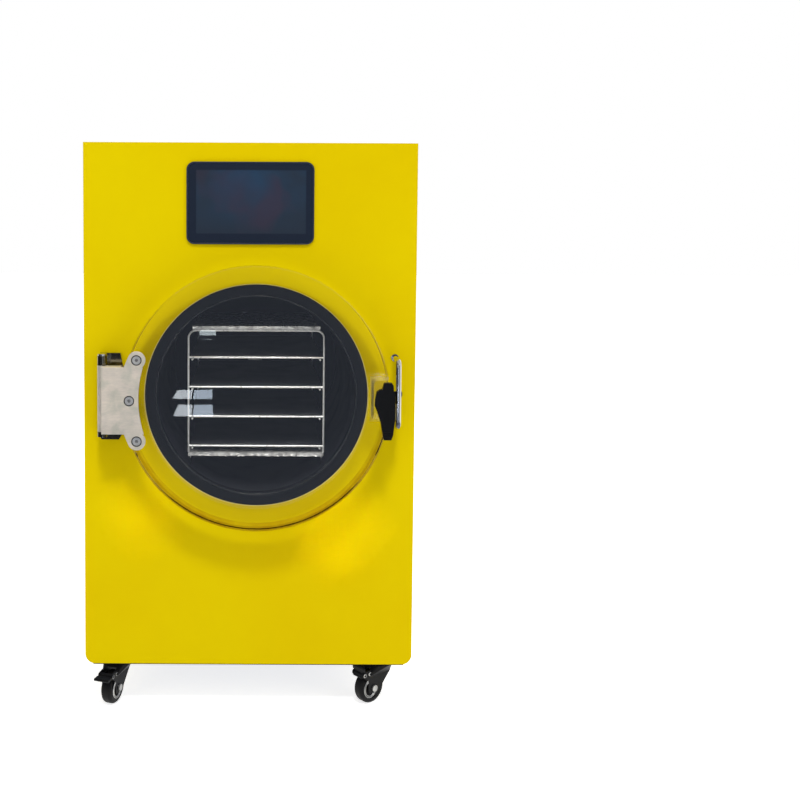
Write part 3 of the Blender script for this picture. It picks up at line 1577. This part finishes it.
@dataclass
class Studio:
    """Floor, room, lamps and camera."""

    eye: Point = (0.0, -1.9176, 0.743)
    pitch: float = 86.6
    roll: float = 0.25
    lens: float = 48.0
    sensor: float = 36.0
    shift: Span = (0.1875, -0.14)
    floor_half: float = 14.0
    floor_cells: int = 8
    ambient: float = 0.45
    room: tuple[RoomSide, ...] = (
        RoomSide(
            "room_wall", upright((-ROOM_HALF, ROOM_BACK), (ROOM_HALF, ROOM_BACK)), 0.04, behind_camera=True
        ),
        RoomSide("room_carpet", lying(CARPET_END, ROOM_BACK, 0.004), 0.04, behind_camera=True),
        RoomSide("room_apron", lying(ROOM_FRONT, CARPET_END, 0.06), 0.25),
        RoomSide("room_left", upright((-ROOM_HALF, ROOM_BACK), (-ROOM_HALF, ROOM_FRONT)), 0.06),
        RoomSide(
            "room_right", upright((ROOM_HALF, ROOM_BACK), (ROOM_HALF, ROOM_FRONT)), 0.7, (1.0, 0.98, 0.92)
        ),
        RoomSide("room_ceiling", lying(ROOM_BACK, ROOM_FRONT, ROOM_TALL), 0.4, (1.0, 0.97, 0.9)),
    )
    window_y: float = -1.25
    card_y: float = -1.3
    collar_r: float = 0.3
    collar_y: Span = (-0.42, -0.3)
    collar_tint: Colour = (0.55, 0.42, 0.02, 1.0)
    card_middle: Span = (0.016, 0.336)
    card_r: float = 0.266
    card_tint: Tint = (0.76, 0.87, 1.12)
    card_level: float = 0.58
    window: tuple[Pane, ...] = (
        Pane("pane_upper_left", ((-0.166, 0.362), (-0.131, 0.362), (-0.134, 0.341), (-0.178, 0.341)), PANE_LEFT, 12.0),
        Pane(
            "pane_upper_right", ((-0.1275, 0.362), (-0.0858, 0.362), (-0.0858, 0.341), (-0.1305, 0.341)),
            PANE_RIGHT, 11.0,
        ),
        Pane(
            "pane_lower_left", ((-0.164, 0.3275), (-0.131, 0.3275), (-0.1348, 0.3006), (-0.1765, 0.3006)),
            PANE_LEFT, 12.0,
        ),
        Pane(
            "pane_lower_right", ((-0.1275, 0.3275), (-0.0858, 0.3275), (-0.083, 0.3006), (-0.132, 0.3006)),
            PANE_RIGHT, 11.0,
        ),
        Pane("pane_top", ((-0.1153, 0.501), (-0.0778, 0.501), (-0.0778, 0.488), (-0.1153, 0.488)), PANE_TOP, 10.0),
        Pane("pane_top_sill", ((-0.1153, 0.48), (-0.0865, 0.48), (-0.0865, 0.4786), (-0.1153, 0.4786)), PANE_TOP, 7.0),
    )
    lamps: tuple[Lamp, ...] = (
        Lamp("key_box", (-1.7, -2.6, 1.2), (0.0, -0.3, 0.4), (1.6, 1.6), 9.0, (1.0, 0.985, 0.96)),
        Lamp("overhead_box", (0.35, -4.8, 8.2), (0.0, -0.33, 0.35), (1.4, 1.4), 460.0, (1.0, 0.99, 0.97)),
        Lamp("fill_box", (2.3, -1.9, 1.6), (0.0, -0.2, 0.4), (1.6, 1.8), 14.0),
        Lamp("top_box", (0.0, 0.5, 3.0), (0.0, 0.2, 0.5), (2.2, 2.2), 14.0),
        # The soft patches that the clear door throws on the panel below it
        Lamp("door_glow_right", (0.5, -1.5, 0.9), (0.138, -0.32, 0.275), (0.06, 0.03), 0.0125, WARM, 5.5),
        Lamp("door_glow_left", (-0.5, -1.5, 0.9), (-0.163, -0.32, 0.305), (0.06, 0.03), 0.0075, WARM, 5.5),
        Lamp("rear_box", (0.8, 2.6, 1.9), (0.0, 0.2, 0.45), (1.8, 1.8), 36.0),
    )

    def build(self) -> None:
        """Set up the whole studio."""
        self.lay_floor()
        self.light_world()
        self.hang_room()
        self.hang_collar()
        for lamp in self.lamps:
            lamp.light()
        self.place_camera()
        bpy.context.scene.view_settings.view_transform = "Standard"

    def lay_floor(self) -> None:
        """A wide pale floor under the machine."""
        cells = self.floor_cells
        shape = bmesh.new()
        bmesh.ops.create_grid(shape, x_segments=cells, y_segments=cells, size=self.floor_half)
        mesh_piece("studio_floor", shape, Palette.FLOOR)

    def light_world(self) -> None:
        """A white surround for the camera, mirrors and lenses, and a softer one for lighting."""
        world = bpy.data.worlds.new("studio_surround")
        wiring = bare_tree(world)
        strength = wiring.spread(wiring.looked_at(), 0.0, 1.0, self.ambient, 1.0)
        glow = wiring.add("Background", {"Color": grey(1.0), "Strength": strength})
        wiring.add("OutputWorld", {"Surface": glow.outputs[0]})
        bpy.context.scene.world = world

    def hang_room(self) -> None:
        """The dim room, a round grey card and a few window panes, which only mirrors and glass show."""
        for side in self.room:
            glow = self.glow(f"{side.name}_glow", side.tint, side.level)
            piece = self.sheet(side.name, side.corners, glow)
            piece.visible_transmission = side.behind_camera
        across, up = self.card_middle
        outline = tuple(
            (across + self.card_r * math.cos(turn), up + self.card_r * math.sin(turn)) for turn in CIRCLE
        )
        card = Pane("grey_card", outline, self.card_tint, self.card_level)
        for pane, y in ((card, self.card_y), *((each, self.window_y) for each in self.window)):
            glass = self.glow(pane.name, pane.tint, pane.level)
            self.sheet(pane.name, [(x, y, z) for x, z in pane.corners], glass)

    def hang_collar(self) -> None:
        """A yellow collar round the closed door, which only light through the clear edge meets."""
        middle, count = node_middle("door_disc"), len(CIRCLE)
        corners = [
            (middle.x + self.collar_r * math.cos(turn), y, middle.z + self.collar_r * math.sin(turn))
            for y in self.collar_y for turn in CIRCLE
        ]
        faces = [(i, (i + 1) % count, count + (i + 1) % count, count + i) for i in range(count)]
        glow = self.glow("edge_collar_glow", self.collar_tint[:3], 1.0)
        collar = self.sheet("edge_collar", corners, glow, faces)
        collar.visible_glossy, collar.visible_transmission = False, True

    def glow(self, name: str, tint: Tint, strength: float) -> bpy.types.Material:
        """A plain glowing material for what mirrors and glass show.

        Args:
            name: the material's name.
            tint: its colour.
            strength: its level, where 1 is white.

        Returns:
            The material.
        """
        made = bpy.data.materials.new(name)
        wiring = bare_tree(made)
        shine = wiring.add("Emission", {"Color": (*tint, 1.0), "Strength": strength})
        wiring.add("OutputMaterial", {"Surface": shine.outputs[0]})
        return made

    def sheet(
        self, name: str, corners: Sequence[Point], material: bpy.types.Material,
        faces: Sequence[tuple[int, ...]] = (),
    ) -> bpy.types.Object:
        """A thin stage piece that only glossy rays meet, until its user says otherwise.

        Args:
            name: the piece's name.
            corners: its corners in order.
            material: what it glows with.
            faces: the corners of each face, or nothing for one face round all of them.

        Returns:
            The new object.
        """
        mesh = bpy.data.meshes.new(name)
        mesh.from_pydata([Vector(c) for c in corners], [], faces or [tuple(range(len(corners)))])
        mesh.materials.append(material)
        piece = placed(name, mesh)
        for ray in ("camera", "diffuse", "transmission", "volume_scatter", "shadow"):
            setattr(piece, f"visible_{ray}", False)
        return piece

    def place_camera(self) -> None:
        """The camera, in front of the machine and above its door, looking a little down."""
        data = bpy.data.cameras.new("camera")
        data.lens = self.lens
        data.sensor_width = self.sensor
        data.shift_x, data.shift_y = self.shift
        tilt = Matrix.Rotation(math.radians(self.pitch), 4, "X") @ Matrix.Rotation(math.radians(self.roll), 4, "Z")
        camera = placed("camera", data)
        camera.matrix_world = Matrix.Translation(self.eye) @ tilt
        bpy.context.scene.camera = camera


def report_bare_parts() -> None:
    """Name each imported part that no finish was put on."""
    dressed = {finish.value.name for finish in Palette}
    bare = sorted(
        name for name, part in frame["nodes"].items()
        if any(slot.material.name not in dressed for slot in part.material_slots)
    )
    if bare:
        log.warning("parts with no finish: %s", ", ".join(bare))


def main() -> None:
    """Dress the machine, complete it and set up the studio."""
    logging.basicConfig(level=logging.INFO, format="%(name)s: %(message)s")
    casters = [
        Caster(spot=f"{end}_{side}", braked=end == "front") for end in ("front", "rear") for side in ("left", "right")
    ]
    machine = [
        Cabinet(), Screen(), Chamber(), TrayRack(), Door(), HingeAndKeeper(), Machinery(), RearFittings(),
        CasterPlates(), *casters,
    ]
    for assembly in machine:
        assembly.dress()
        log.info("dressed %s", type(assembly).__name__)
        for piece in assembly.build():
            log.info("built %s, %d faces", piece.name, len(piece.data.polygons))
    report_bare_parts()
    Studio().build()


if __name__ == "__main__":
    main()
